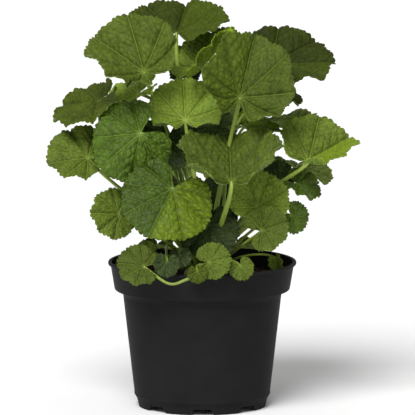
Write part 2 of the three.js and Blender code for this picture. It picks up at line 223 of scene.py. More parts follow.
# %% Round the corners and turn a profile
def rounded(profile, steps=5):
    """Replaces each corner of a profile by an arc of the radius given with it."""
    points = []
    for i, (x, z, radius) in enumerate(profile):
        here = Vector((x, z))
        if radius == 0 or i in (0, len(profile) - 1):
            points.append(here)
            continue
        to_last = Vector(profile[i - 1][:2]) - here
        to_next = Vector(profile[i + 1][:2]) - here
        turn = math.pi - to_last.angle(to_next)
        if turn < 0.02:
            points.append(here)
            continue
        reach = min(radius * math.tan(turn / 2), 0.45 * to_last.length, 0.45 * to_next.length)
        start = here + to_last.normalized() * reach
        end = here + to_next.normalized() * reach
        for step in range(steps + 1):
            t = step / steps
            points.append(start * (1 - t) ** 2 + here * 2 * t * (1 - t) + end * t ** 2)
    return points


def turned(name, profile, turns):
    """A solid of revolution about Z. The profile starts and ends on the axis."""
    count = len(profile)
    rims = profile[1:-1]
    angles = np.arange(turns) * 2 * math.pi / turns
    radius = np.array([p[0] for p in rims])
    height = np.array([p[1] for p in rims])
    rows = np.stack([
        radius[:, None] * np.cos(angles),
        radius[:, None] * np.sin(angles),
        np.repeat(height[:, None], turns, 1),
    ], -1).reshape(-1, 3)
    first = len(rows)
    points = np.vstack([rows, [(0, 0, profile[0][1]), (0, 0, profile[-1][1])]])
    a = np.arange(turns)
    b = (a + 1) % turns
    faces = [np.stack([np.full(turns, first), b, a], 1)]
    for k in range(count - 3):
        low, high = k * turns, (k + 1) * turns
        faces.append(np.stack([low + a, low + b, high + b], 1))
        faces.append(np.stack([low + a, high + b, high + a], 1))
    top = (count - 3) * turns
    faces.append(np.stack([np.full(turns, first + 1), top + a, top + b], 1))
    return mesh_object(name, points, np.vstack(faces))


pot = turned("nursery_pot", rounded(POT_PROFILE), POT_TURNS)
print("pot faces before the notches:", len(pot.data.polygons))

# %% [markdown]
# ## Drainage notches
# Eight notches are cut through the foot ring, with a drain hole in the floor behind each. What
# repeats is made with Geometry Nodes: one cutter is placed on the points of a circle, all eight
# are made real, and a boolean takes them from the pot.

# %% Notch cutter
NOTCHES = 8
NOTCH_BOTTOM = 27
NOTCH_TOP = 18
NOTCH_HEIGHT = 5.8
DRAIN_RADIUS = 4.5
DRAIN_RING = 50


def notch_outline(steps=8):
    """Half a notch, from its foot to the middle of its top: the sides curve in as they rise."""
    points = [(NOTCH_BOTTOM / 2, -1)]
    for i in range(steps + 1):
        t = i / steps * math.pi / 2
        across = NOTCH_TOP / 2 + (NOTCH_BOTTOM - NOTCH_TOP) / 2 * (1 - math.sin(t))
        points.append((across, NOTCH_HEIGHT * (1 - math.cos(t)) ** 0.8))
    return points


def prism(name, outline, near, far):
    """An outline in X and Z, drawn out along Y."""
    count = len(outline)
    points = [(x, y, z) for y in (near, far) for x, z in outline]
    faces = []
    for i in range(1, count - 1):
        faces.append((0, i, i + 1))
        faces.append((count, count + i + 1, count + i))
    for i in range(count):
        j = (i + 1) % count
        faces.append((i, count + i, count + j))
        faces.append((i, count + j, j))
    return mesh_object(name, np.array(points, float), np.array(faces))


right_side = notch_outline()
left_side = [(-x, z) for x, z in reversed(right_side)]
notch = prism("notch_cutter", right_side + left_side, FOOT - 8, FOOT + 12)
drain_profile = [Vector(place) for place in ((0, 4), (DRAIN_RADIUS, 4), (DRAIN_RADIUS, 12), (0, 12))]
drain = turned("drain_cutter", drain_profile, 24)
print("notch width and height in mm:", NOTCH_BOTTOM, NOTCH_HEIGHT)


# %% Geometry Nodes tools
def geometry_tree(name, sockets):
    """An empty Geometry Nodes tree with a geometry in, a geometry out and named inputs."""
    tree = bpy.data.node_groups.new(name, "GeometryNodeTree")
    tree.interface.new_socket("Geometry", in_out="INPUT", socket_type="NodeSocketGeometry")
    tree.interface.new_socket("Geometry", in_out="OUTPUT", socket_type="NodeSocketGeometry")
    for label, kind in sockets:
        tree.interface.new_socket(label, in_out="INPUT", socket_type=f"NodeSocket{kind}")
    start = tree.nodes.new("NodeGroupInput")
    end = tree.nodes.new("NodeGroupOutput")
    return tree, start.outputs, end.inputs["Geometry"]


def run_tree(made, tree, values):
    """Runs a tree on an object and puts the result in a plain mesh."""
    modifier = made.modifiers.new(tree.name, "NODES")
    modifier.node_group = tree
    for item in tree.interface.items_tree:
        if item.in_out == "INPUT" and item.name in values:
            modifier[item.identifier] = values[item.name]
    evaluated = made.evaluated_get(bpy.context.evaluated_depsgraph_get())
    mesh = bpy.data.meshes.new_from_object(evaluated)
    name = made.name
    bpy.data.objects.remove(made)
    mesh.name = name
    result = bpy.data.objects.new(name, mesh)
    bpy.context.collection.objects.link(result)
    return result


# %% Tree for the notches
def notch_tree():
    """Takes the notches and drain holes from a pot that stands on the origin."""
    tree, given, out = geometry_tree("drainage", [
        ("Count", "Int"), ("Notch", "Object"), ("Drain", "Object"),
        ("Drain Ring", "Float"), ("Material", "Material"),
    ])
    body = given["Geometry"]
    for cutter, ring in (("Notch", 0.0001), ("Drain", given["Drain Ring"])):
        circle = add(tree, "GeometryNodeMeshCircle", Vertices=given["Count"], Radius=ring)
        place = add(tree, "GeometryNodeInputPosition").outputs[0]
        face_out = add(tree, "FunctionNodeAlignRotationToVector", {"axis": "Y"}, Vector=place)
        shape = add(tree, "GeometryNodeObjectInfo", Object=given[cutter])
        copies = add(
            tree, "GeometryNodeInstanceOnPoints", Points=circle.outputs[0],
            Instance=shape.outputs["Geometry"], Rotation=face_out.outputs[0],
        )
        real = add(tree, "GeometryNodeRealizeInstances", Geometry=copies.outputs[0])
        cut = add(
            tree, "GeometryNodeMeshBoolean", {"operation": "DIFFERENCE", "solver": "EXACT"},
            Mesh_1=body, Mesh_2=real.outputs[0],
        )
        body = cut.outputs[0]
    real = add(tree, "GeometryNodeRealizeInstances", Geometry=body)
    finish = add(tree, "GeometryNodeSetMaterial", Geometry=real.outputs[0], Material=given["Material"])
    tree.links.new(finish.outputs[0], out)
    return tree


# %% [markdown]
# ## Black polypropylene
# Polypropylene from a fine-blasted mould is a soft satin black. It has an IOR of 1.49. The grain
# of the mould is some tenths of a millimetre, drawn here at 0.7 mm so that it shows. Faint flow
# marks and a little dust make the black slightly grey. The gloss is set far below the default,
# because a white surrounding would otherwise light up the edges of the pot.

# %% Pot material
def polypropylene():
    """Satin black plastic with mould grain, flow marks and a little dust."""
    material, tree, shader = new_material(
        "black_polypropylene_moulded", IOR=1.49, Specular_IOR_Level=0.02,
    )
    coords = add(tree, "ShaderNodeTexCoord").outputs["Object"]
    stretched = add(tree, "ShaderNodeMapping", Vector=coords, Scale=(30, 30, 160)).outputs[0]
    flow = add(tree, "ShaderNodeTexNoise", Vector=stretched, Scale=1.0, Detail=3.0).outputs["Fac"]
    dust = add(tree, "ShaderNodeTexNoise", Vector=coords, Scale=28.0, Detail=5.0).outputs["Fac"]
    flow_part = add(tree, "ShaderNodeMath", {"operation": "MULTIPLY"}, in0=flow, in1=0.35).outputs[0]
    dust_part = add(tree, "ShaderNodeMath", {"operation": "MULTIPLY"}, in0=dust, in1=0.65).outputs[0]
    tone = add(tree, "ShaderNodeMath", {"operation": "ADD"}, in0=flow_part, in1=dust_part).outputs[0]
    colour = add(
        tree, "ShaderNodeMix", {"data_type": "RGBA"},
        Factor=tone, A=linear("#191919"), B=linear("#262626"),
    )
    tree.links.new(colour.outputs["Result"], shader.inputs["Base Color"])
    rough = add(tree, "ShaderNodeMapRange", Value=tone, To_Min=0.4, To_Max=0.6).outputs[0]
    tree.links.new(rough, shader.inputs["Roughness"])
    grain = add(tree, "ShaderNodeTexNoise", Vector=coords, Scale=1 / (0.7 * MM), Detail=2.0).outputs["Fac"]
    bump = add(tree, "ShaderNodeBump", Strength=0.12, Distance=0.1 * MM, Height=grain)
    tree.links.new(bump.outputs[0], shader.inputs["Normal"])
    return material


pot_plastic = polypropylene()
pot.data.materials.append(pot_plastic)
print("pot material:", pot_plastic.name)


# %% Cut the pot and hand it over
def soften(made, sharpest):
    """Smooth shading, with the edges sharper than an angle in degrees kept crisp."""
    mesh = made.data
    mesh.shade_smooth()
    mesh.set_sharp_from_angle(angle=math.radians(sharpest))


pot = run_tree(pot, notch_tree(), {
    "Count": NOTCHES, "Notch": notch, "Drain": drain,
    "Drain Ring": DRAIN_RING * MM, "Material": pot_plastic,
})
bpy.data.objects.remove(notch)
bpy.data.objects.remove(drain)
soften(pot, 32)
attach(pot, "root")
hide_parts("pot")
print("pot faces:", len(pot.data.polygons))

# %% [markdown]
# ## Potting soil
# The soil is a dark peat mix. It fills the pot to about twelve millimetres under the lip, and its
# surface is a layer of crumbs and fibres. The body is turned like the pot, with a lumpy top.
# Crumbs of a few shapes are then scattered over the top with Geometry Nodes.

# %% Soil body
SOIL_SEED = 7
soil_low, soil_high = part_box("potting_soil")
SOIL_TOP = soil_high[2] / MM
SOIL_GAP = 0.35
SOIL_RADIUS = 82
SOIL_RINGS = 40
soil_wall = WALL + SOIL_GAP
soil_profile = [
    (0, FLOOR_TOP + SOIL_GAP, 0),
    (FOOT - 1.6, FLOOR_TOP + SOIL_GAP, 1),
    (FOOT + 3.5 - soil_wall, 14.5, 1),
    (BODY_TOP[0] - soil_wall - 0.3, BODY_TOP[1], 3),
    (BODY_TOP[0] + 0.6, BODY_TOP[1] + 6.6, 2),
    (COLLAR_RADIUS - 0.4 - soil_wall, COLLAR_BOTTOM + 2.6, 1),
    (COLLAR_RADIUS + 0.2 - soil_wall, SOIL_TOP - 3.4, 2),
]
soil_edge = rounded(soil_profile + [(SOIL_RADIUS, SOIL_TOP - 1.5, 0)])
top_rings = [
    Vector((SOIL_RADIUS * (1 - k / SOIL_RINGS), SOIL_TOP - 1.2)) for k in range(SOIL_RINGS)
]
soil = turned("peat_body", soil_edge[:-1] + top_rings + [Vector((0, SOIL_TOP - 1.2))], 144)


def lumps(x, y):
    """Gentle rises and dips of the soil surface, in millimetres."""
    waves = [
        (0.11, 0.07, 0.3), (-0.06, 0.16, 1.9), (0.23, -0.19, 4.1),
        (0.41, 0.33, 2.2), (-0.52, 0.47, 5.0),
    ]
    return sum(np.sin(a * x + b * y + c) / (1 + 0.5 * i) for i, (a, b, c) in enumerate(waves)) * 0.7


soil_points = np.empty(len(soil.data.vertices) * 3, np.float32)
soil.data.vertices.foreach_get("co", soil_points)
soil_points = soil_points.reshape(-1, 3)
from_axis = np.hypot(soil_points[:, 0], soil_points[:, 1])
on_top = (soil_points[:, 2] > (SOIL_TOP - 2) * MM) & (from_axis < (SOIL_RADIUS + 2) * MM)
soil_points[on_top, 2] += lumps(soil_points[on_top, 0] / MM, soil_points[on_top, 1] / MM) * MM
soil.data.vertices.foreach_set("co", soil_points.ravel())
soil.data.update()
print("soil top in mm and soil faces:", round(SOIL_TOP, 1), len(soil.data.polygons))

# %% [markdown]
# ## Peat
# Peat is a matt, very dark brown with redder fibres. Its colour is a mix of three browns by
# noise, at a few millimetres, and a finer noise roughens it.

# %% Soil material
def peat():
    """Dark crumbly soil with fibres."""
    material, tree, shader = new_material("moist_peat", Roughness=0.95, Specular_IOR_Level=0.25)
    coords = add(tree, "ShaderNodeTexCoord").outputs["Object"]
    clumps = add(tree, "ShaderNodeTexNoise", Vector=coords, Scale=170.0, Detail=6.0, Roughness=0.65)
    ramp = add(tree, "ShaderNodeValToRGB", Fac=clumps.outputs["Fac"])
    ramp.color_ramp.elements[0].position = 0.35
    ramp.color_ramp.elements[0].color = linear("#120a07")
    ramp.color_ramp.elements[1].position = 0.72
    ramp.color_ramp.elements[1].color = linear("#4a2a1c")
    middle = ramp.color_ramp.elements.new(0.55)
    middle.color = linear("#26130d")
    tree.links.new(ramp.outputs["Color"], shader.inputs["Base Color"])
    fibre = add(tree, "ShaderNodeTexNoise", Vector=coords, Scale=900.0, Detail=4.0).outputs["Fac"]
    bump = add(tree, "ShaderNodeBump", Strength=0.6, Distance=0.5 * MM, Height=fibre)
    tree.links.new(bump.outputs[0], shader.inputs["Normal"])
    return material


moist_peat = peat()
soil.data.materials.append(moist_peat)
soften(soil, 50)
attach(soil, "root")
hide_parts("potting_soil")
print("soil material:", moist_peat.name)

# %% [markdown]
# ## Crumbs
# The top of the soil is loose, so small lumps are scattered over a flat disc with a fixed seed.
# Each is an icosphere of 20 faces, turned and stretched at random, which keeps the count low.


# %% Crumbs
def crumb_tree():
    """Scatters small rough lumps over a surface."""
    tree, given, out = geometry_tree("crumbs", [
        ("Per Square Metre", "Float"), ("Crumb Size", "Float"),
        ("Seed", "Int"), ("Material", "Material"),
    ])
    spread = add(
        tree, "GeometryNodeDistributePointsOnFaces",
        Mesh=given["Geometry"], Density=given["Per Square Metre"], Seed=given["Seed"],
    )
    lump = add(tree, "GeometryNodeMeshIcoSphere", Radius=given["Crumb Size"], Subdivisions=1)
    turn = add(tree, "FunctionNodeRandomValue", {"data_type": "FLOAT_VECTOR"}, Seed=given["Seed"])
    turn.inputs["Max"].default_value = (math.tau, math.tau, math.tau)
    size = add(tree, "FunctionNodeRandomValue", {"data_type": "FLOAT_VECTOR"}, Seed=given["Seed"])
    size.inputs["Min"].default_value = (0.35, 0.35, 0.3)
    size.inputs["Max"].default_value = (1.5, 1.0, 0.8)
    copies = add(
        tree, "GeometryNodeInstanceOnPoints", Points=spread.outputs["Points"],
        Instance=lump.outputs["Mesh"], Rotation=turn.outputs["Value"], Scale=size.outputs["Value"],
    )
    real = add(tree, "GeometryNodeRealizeInstances", Geometry=copies.outputs[0])
    finish = add(tree, "GeometryNodeSetMaterial", Geometry=real.outputs[0], Material=given["Material"])
    tree.links.new(finish.outputs[0], out)
    return tree


CRUMBS_PER_SQUARE_METRE = 90000.0
CRUMB_SIZE = 1.7

bed_rings = [
    Vector((0, SOIL_TOP - 1.6)), Vector((SOIL_RADIUS + 2, SOIL_TOP - 2.2)), Vector((0, SOIL_TOP - 1.4)),
]
crumbs = turned("soil_crumbs", bed_rings, 48)
crumbs = run_tree(crumbs, crumb_tree(), {
    "Per Square Metre": CRUMBS_PER_SQUARE_METRE, "Crumb Size": CRUMB_SIZE * MM,
    "Seed": SOIL_SEED, "Material": moist_peat,
})
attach(crumbs, "root")
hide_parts("potting_soil")
print("crumb faces:", len(crumbs.data.polygons))

# %% [markdown]
# ## Where the leaves stand
# Each leaf has one row, in millimetres and degrees. In order, it gives `at`, where the veins meet
# the stalk; `tip`, the way from there to the leaf's tip; `face`, the way its upper side looks;
# `size`, the length from stalk to tip; `fold`, the lift of the left and right halves; `bend`, the
# lift of the tip and the base; and `look`, one of five leaf finishes. Some rows go on with `turn`,
# `lift`, `arrive` or `via`, which route a stalk round its neighbours, and with `glow` and `tone`.
# `glow` says how much of one half is painted as if light shone through it. `tone` scales the whole
# leaf's colour. Part of it is the leaf's own lighter or darker green, and part is painted light on
# leaves that their neighbours shade and painted shade that makes other leaves darker.

# %% The leaves
def row(at, tip, face, size, fold, bend, look, **more):
    """One leaf, with its values in the order that the text above gives them."""
    return dict(at=at, tip=tip, face=face, size=size, fold=fold, bend=bend, look=look, **more)


LEAVES = {
    "top_back": row((-26, 40, 374), (0.14, 0.96, 0.1), (0.03, -0.1, 0.99), 63,
        (8, 14), (14, -22), "shaded", lift=0.15, arrive=0.12, glow=-0.3, tone=0.7),
    "top_left": row((-59, -18, 341), (-0.74, 0.3, 0.54), (-0.14, -0.66, 0.74), 64,
        (34, 26), (-8, 56), "dusty",
        via=[(-10, 30, 210), (-40, 34, 285)]),
    "far_left_dark": row((-104, 12, 308), (-0.9, 0.03, -0.36), (-0.3, -0.02, 0.9), 50,
        (-16, 14), (-4, 50), "shaded", turn=45, lift=0.15, arrive=0.32, tone=1.1),
    "left_edge": row((-64, 27, 314), (-0.84, 0.02, -0.49), (-0.42, -0.36, 0.82), 48,
        (14, -4), (-4, 8), "pale", turn=-30, lift=0.6, arrive=0.32, glow=0.9, tone=2),
    "centre_upper": row((-17, -8, 291), (-0.05, 0.62, 0.66), (0, -0.62, 0.78), 47,
        (6, 6), (10, 70), "pale", turn=45, lift=0.6, arrive=0.12, tone=1.35),
    "left_glossy": row((-62, -42, 282), (-0.76, -0.15, -0.57), (-0.05, -0.88, 0.46), 54,
        (-38, -16), (-14, -34), "glossy", turn=-30, tone=1.05),
    "far_left_round": row((-115, -10, 253), (-0.88, 0.25, 0.34), (-0.16, -0.62, 0.76), 42.5,
        (6, 0), (-8, 24), "dusty", tone=1.2),
    "low_left_kidney": row((-84, -34, 200), (-0.7, -0.55, 0.12), (-0.55, -0.8, 0.2), 31,
        (-4, -4), (-14, -10), "dusty", tone=1.4),
    "front_droop": row((-30, -69, 230), (-0.42, -0.58, -0.7), (0.02, -0.74, 0.66), 57,
        (-30, -10), (-10, -10), "glossy", turn=45, lift=0.5, glow=1, tone=0.75),
    "butterfly": row((29, -63, 237), (-0.02, 0.86, 0.36), (0, -0.42, 0.9), 74,
        (31, 33), (4, 36), "dusty", tone=0.92),
    "right_upper": row((38, -20, 316), (0.22, 0.22, 0.95), (0.02, -0.94, 0.28), 66,
        (40, 18), (-8, 52), "dusty", turn=-30, glow=0.3, tone=0.82),
    "top_fold": row((0, 14, 342), (0.62, 0.35, 0.66), (-0.48, -0.1, 0.86), 52,
        (26, 26), (-4, 20), "dusty", glow=-1, tone=1.5,
        via=[(8, 34, 235), (5, 36, 300)]),
    "top_right_dark": row((70, 42, 339), (0.95, 0.05, 0.14), (-0.05, -0.36, 0.92), 64,
        (14, 4), (-8, 0), "shaded", turn=45, lift=0.5, arrive=0.32, glow=-0.3, tone=0.55),
    "behind_tip": row((82, 22, 316), (0.7, 0.2, -0.45), (0.5, -0.3, 0.8), 22,
        (4, 4), (0, 0), "shaded", turn=-45, lift=0.6, arrive=0.42),
    "right_big": row((107, -14, 251), (0.7, 0.56, 0.32), (0.02, -0.44, 0.9), 56,
        (28, 26), (0, 50), "dusty", turn=30, lift=0.6, arrive=0.12, glow=-0.5, tone=1.45),
    "right_below": row((95, -2, 226), (0.88, -0.1, -0.4), (0.35, -0.5, 0.8), 26,
        (8, 8), (-10, 0), "glossy"),
    "right_middle": row((55, -34, 207), (0.3, 0.3, 0.82), (0.06, -0.86, 0.46), 37,
        (6, 6), (-14, 30), "dusty", tone=1.95),
    "right_front": row((60, -54, 186), (0.85, -0.2, 0.35), (0.05, -0.92, 0.4), 28,
        (10, 4), (-8, 10), "dusty", lift=0.15, arrive=0.12),
    "right_dark": row((89, -16, 196), (0.55, 0.1, -0.6), (0.3, -0.9, 0.3), 20,
        (0, 0), (-4, 0), "glossy"),
    "rim_kidney": row((7, -99, 161), (0.92, 0, 0.25), (0, -0.97, 0.24), 22,
        (0, 0), (-6, 0), "pale", turn=-15, lift=0.15, arrive=0.42, tone=0.78),
    "rim_right": row((38, -92, 156), (0.35, -0.3, -0.8), (0, -0.92, 0.38), 15,
        (0, 0), (-8, 0), "dusty", lift=0.25),
    "rim_left": row((-58, -96, 156), (-0.85, -0.05, 0.16), (0.05, -0.8, 0.6), 27,
        (0, 0), (-8, 0), "dusty", tone=0.85,
        via=[(-2, -74, 154), (-3, -96, 151), (-18, -103, 143), (-34, -102, 140)]),
    "rim_small": row((-5, -103, 152), (0.1, -0.2, -0.9), (0, -0.9, 0.3), 12,
        (4, 4), (0, 0), "shaded", turn=-15, lift=0.15, arrive=0.12),
    "rim_round": row((-22, -76, 164), (0.1, -0.5, -0.8), (0, -0.88, 0.45), 14,
        (4, 4), (-8, 0), "dark", turn=-30, arrive=0.32),
    "rim_grey": row((-35, -93, 160), (-0.1, -0.4, -0.9), (-0.05, -0.9, 0.4), 16,
        (8, 8), (-6, 0), "dark", turn=-60, lift=0.6, arrive=0.12),
    "young": row((-53, -50, 166), (-0.3, 0.1, 0.9), (0.1, -0.9, 0.2), 9,
        (10, 10), (0, 0), "pale"),
    "low_dark": row((5, -42, 190), (0.1, -0.62, -0.75), (0.05, -0.8, 0.55), 38,
        (-10, -10), (-14, 10), "dark", tone=0.95),
    "inner_dark": row((6, 20, 282), (0.05, -0.45, -0.8), (0, -0.86, 0.45), 34,
        (6, 6), (-8, 0), "dark", tone=1.5),
    "edge_right": row((43, 16, 282), (0.96, -0.1, -0.1), (0, -0.3, 0.95), 35,
        (-4, 14), (-6, -10), "glossy", glow=0.8),
    "top_inner": row((-18, 46, 329), (0.1, 0.5, 0.6), (0, -0.8, 0.6), 20,
        (6, 6), (0, 10), "dark"),
    "rim_tiny": row((74, -34, 153), (0.3, -0.1, -0.85), (-0.25, -0.9, 0.2), 12,
        (40, 40), (0, 0), "pale"),
    "right_dip": row((78, 12, 228), (-0.2, 0.5, 0.75), (0.1, -0.8, 0.5), 20,
        (6, 6), (0, 0), "dark"),
    "inner_left": row((-35, 24, 269), (-0.1, -0.5, -0.75), (-0.1, -0.75, 0.6), 38,
        (0, 0), (-8, 0), "dark", tone=1.2),
    "inner_low_left": row((-22, -10, 221), (-0.1, -0.6, -0.75), (-0.05, -0.8, 0.5), 32,
        (0, 0), (-8, 0), "dark", tone=0.8),
    "inner_low_right": row((23, 16, 217), (0.3, -0.55, -0.75), (0.1, -0.8, 0.5), 33,
        (0, 0), (-8, 0), "dark", tone=0.8),
    "back_left_high": row((-50, 54, 292), (-0.45, 0.85, -0.15), (-0.15, 0.25, 0.93), 54,
        (10, 10), (-14, -10), "dusty"),
    "back_high": row((22, 61, 302), (0.1, 0.95, -0.22), (0, 0.35, 0.92), 57,
        (12, 8), (-16, -10), "glossy"),
    "back_right_high": row((72, 49, 282), (0.62, 0.75, -0.18), (0.15, 0.25, 0.93), 50,
        (8, 12), (-14, -10), "dusty"),
    "back_left": row((-82, 36, 246), (-0.78, 0.55, -0.25), (-0.25, 0.3, 0.9), 45,
        (8, 8), (-16, -10), "glossy"),
    "back_mid_left": row((-24, 72, 238), (-0.15, 0.92, -0.38), (-0.05, 0.5, 0.85), 48,
        (8, 10), (-14, -10), "dusty"),
    "back_mid_right": row((36, 73, 222), (0.25, 0.88, -0.42), (0.05, 0.5, 0.85), 46,
        (10, 8), (-16, -10), "dusty"),
    "back_right": row((94, 45, 236), (0.85, 0.45, -0.3), (0.3, 0.25, 0.9), 40,
        (8, 8), (-14, -10), "pale"),
    "back_low_left": row((-58, 51, 192), (-0.55, 0.7, -0.5), (-0.3, 0.55, 0.75), 38,
        (6, 6), (-16, -8), "dusty"),
    "back_low": row((4, 75, 176), (0.05, 0.85, -0.55), (0, 0.6, 0.8), 38,
        (6, 6), (-16, -8), "glossy"),
    "back_low_right": row((58, 54, 184), (0.6, 0.65, -0.5), (0.3, 0.55, 0.75), 34,
        (6, 6), (-16, -8), "dusty"),
    "back_rim_left": row((-46, 80, 152), (-0.35, 0.75, -0.55), (-0.25, 0.6, 0.75), 23,
        (4, 4), (-12, -8), "pale"),
    "back_rim_right": row((34, 88, 151), (0.25, 0.8, -0.55), (0.15, 0.65, 0.75), 25,
        (4, 4), (-12, -8), "dusty"),
}
print("leaves:", len(LEAVES))

# %% [markdown]
# ## One formula for a leaf
# A hollyhock leaf is round with shallow lobes, one for each main vein, and the veins fan out from
# the stalk every 38 degrees. Its edge has rounded teeth and its base is heart-shaped, with a gap
# where the stalk arrives. The blade is drawn flat in polar coordinates round the stalk and then
# folded, bent and ruffled in space.

# %% Leaf outline and shape
VEIN_STEP = math.radians(38)
SINUS = math.radians(22)
CORNER = math.radians(30)
BLADE_THICKNESS = 0.5
GRID = 1.25
POINTS_PER_TOOTH = 5


def outline(angle, size, seed, toothed=True):
    """Distance from the stalk to the edge as a share of the leaf's size."""
    leaf_round = 1 - 0.34 * np.sin(angle / 2) ** 2
    lobes = 0.94 + 0.06 * np.abs(np.cos(np.pi * angle / VEIN_STEP)) ** 0.8
    to_sinus = np.clip((np.pi - SINUS - np.abs(angle)) / CORNER, 0, 1)
    corner = 0.3 + 0.7 * np.sqrt(1 - (1 - to_sinus) ** 2)
    edge = leaf_round * lobes * corner
    if toothed:
        wander = 0.35 * np.sin(3.1 * angle + seed) + 0.25 * np.sin(7.3 * angle + 2 * seed)
        tooth = np.abs(np.sin(teeth(size) * angle / 2 + wander)) ** 0.7
        edge = edge * (1 + (1.6 / size + 0.012) * (tooth - 0.6))
    return edge


def teeth(size):
    """Teeth round a full circle: they are about five and a half millimetres wide on a big leaf."""
    return int(18 + 0.75 * size)


print("teeth round a leaf of 60 mm:", teeth(60))


# %% Fold, bend and ruffle a blade
def leaf_axes(leaf):
    """A leaf's directions towards its tip, its left side and its face."""
    tip = Vector(leaf["tip"]).normalized()
    face = Vector(leaf["face"])
    face = (face - tip * face.dot(tip)).normalized()
    left = face.cross(tip)
    return np.array(tip), np.array(left), np.array(face)


def ruffle_seed(name):
    """A number from the leaf's name, so that each leaf has ruffles of its own."""
    return sum(ord(letter) for letter in name) % 63 / 10


def blade_points(leaf, seed, x, y):
    """Places points of a flat leaf, x towards the tip and y to the left, in space."""
    tip, left, face = leaf_axes(leaf)
    size = leaf["size"]
    side = np.where(y >= 0, 1.0, -1.0)
    end = np.where(x >= 0, 1.0, -1.0)
    span = np.abs(y)
    fold = np.radians(np.where(y >= 0, *leaf["fold"]))
    bend = np.radians(np.where(x >= 0, *leaf["bend"])) * np.abs(x) / size
    lift = fold * span * 1.12 / (span + 0.12 * size)
    reach = np.hypot(x, y) / size
    angle = np.arctan2(y, x)
    up = span * np.sin(lift)
    up += 0.04 * size * reach ** 2 * np.cos(4 * angle + seed * 1.7)
    up += 0.02 * size * reach ** 3 * np.cos(9.47 * angle + seed)
    up += 0.012 * size * reach ** 4 * np.sin(17 * angle + 3 * seed)
    along = x * np.cos(bend) - end * up * np.sin(2 * bend)
    across = side * span * np.cos(lift)
    out = np.abs(x) * np.sin(bend) + up * np.cos(2 * bend)
    place = np.array(leaf["at"], float)
    return place + along[..., None] * tip + across[..., None] * left + out[..., None] * face


# %% [markdown]
# ## The quilted surface
# Between the veins the blade swells, so the upper side looks quilted and the veins lie in
# grooves. Three sizes are added: an arch from each main vein to the next, pads between the side
# veins, and small puckers of about three to six millimetres. Waxy leaves and the dark inner and
# low leaves are the most puckered.

# %% Surface relief
FAN = 0.19
PUCKER = {"dusty": 1.9, "glossy": 2.6, "dark": 2.4, "shaded": 1.7, "pale": 1.7}


def side_spacing(size):
    """Distance between side veins in millimetres."""
    return 4 + 0.11 * size


def puckers(x, y, cell, seed):
    """Rounded bumps with creases between them: 0 in a crease, 1 on a bump."""
    gx, gy = x / cell + 50, y / cell + 50
    nearest = np.full(x.shape, 9.0)
    second = np.full(x.shape, 9.0)
    for dx in (-1, 0, 1):
        for dy in (-1, 0, 1):
            cx, cy = np.floor(gx) + dx, np.floor(gy) + dy
            shift = np.sin(cx * 127.1 + cy * 311.7 + seed) * 43758.5453
            turn = np.sin(cx * 269.5 + cy * 183.3 + seed) * 43758.5453
            px, py = cx + shift % 1, cy + turn % 1
            far = np.hypot(gx - px, gy - py)
            second = np.where(far < nearest, nearest, np.minimum(second, far))
            nearest = np.minimum(nearest, far)
    return np.clip((second - nearest) * 1.6, 0, 1) ** 0.6


def relief(leaf, seed, x, y):
    """Height of the quilted surface over the smooth blade in millimetres, and how much shade is painted
    there: most in the creases between puckers and beside the veins.
    """
    size = leaf["size"]
    strength = PUCKER[leaf["look"]]
    radius = np.hypot(x, y)
    angle = np.arctan2(y, x)
    off = angle - np.round(angle / VEIN_STEP) * VEIN_STEP
    from_vein = radius * np.abs(np.sin(off))
    along = radius * np.cos(off)
    u = (along - 0.9 * from_vein) / side_spacing(size)
    from_side = np.abs(u - np.round(u))
    inside = np.clip(radius / (0.15 * size), 0, 1)
    across = from_vein / (radius * math.sin(VEIN_STEP / 2) + 0.001)
    arch = FAN * radius * (across - across ** 2 / 2) * (1 + 0.35 * np.sin(2.1 * angle + seed))
    pad = 0.010 * size * (1 - np.exp(-(from_side / 0.2) ** 2)) * np.clip(from_vein / 3, 0, 1)
    small = puckers(x, y, 2.4 + size / 22, seed)
    groove = -0.5 * np.exp(-(from_vein / 0.9) ** 2)
    height = inside * (arch + strength * (pad + 0.5 * small) + groove)
    # painted shade beside the main and side veins; the value returned is painted shade, also in the
    # creases between puckers
    painted_vein_shade = 0.55 * np.exp(-(from_vein / (0.035 * size)) ** 2)
    painted_vein_shade += 0.45 * np.exp(-(from_side / 0.16) ** 2)
    return height, np.maximum(0.8 * (1 - small), painted_vein_shade)


print("side vein spacing on a leaf of 60 mm:", round(side_spacing(60), 1))
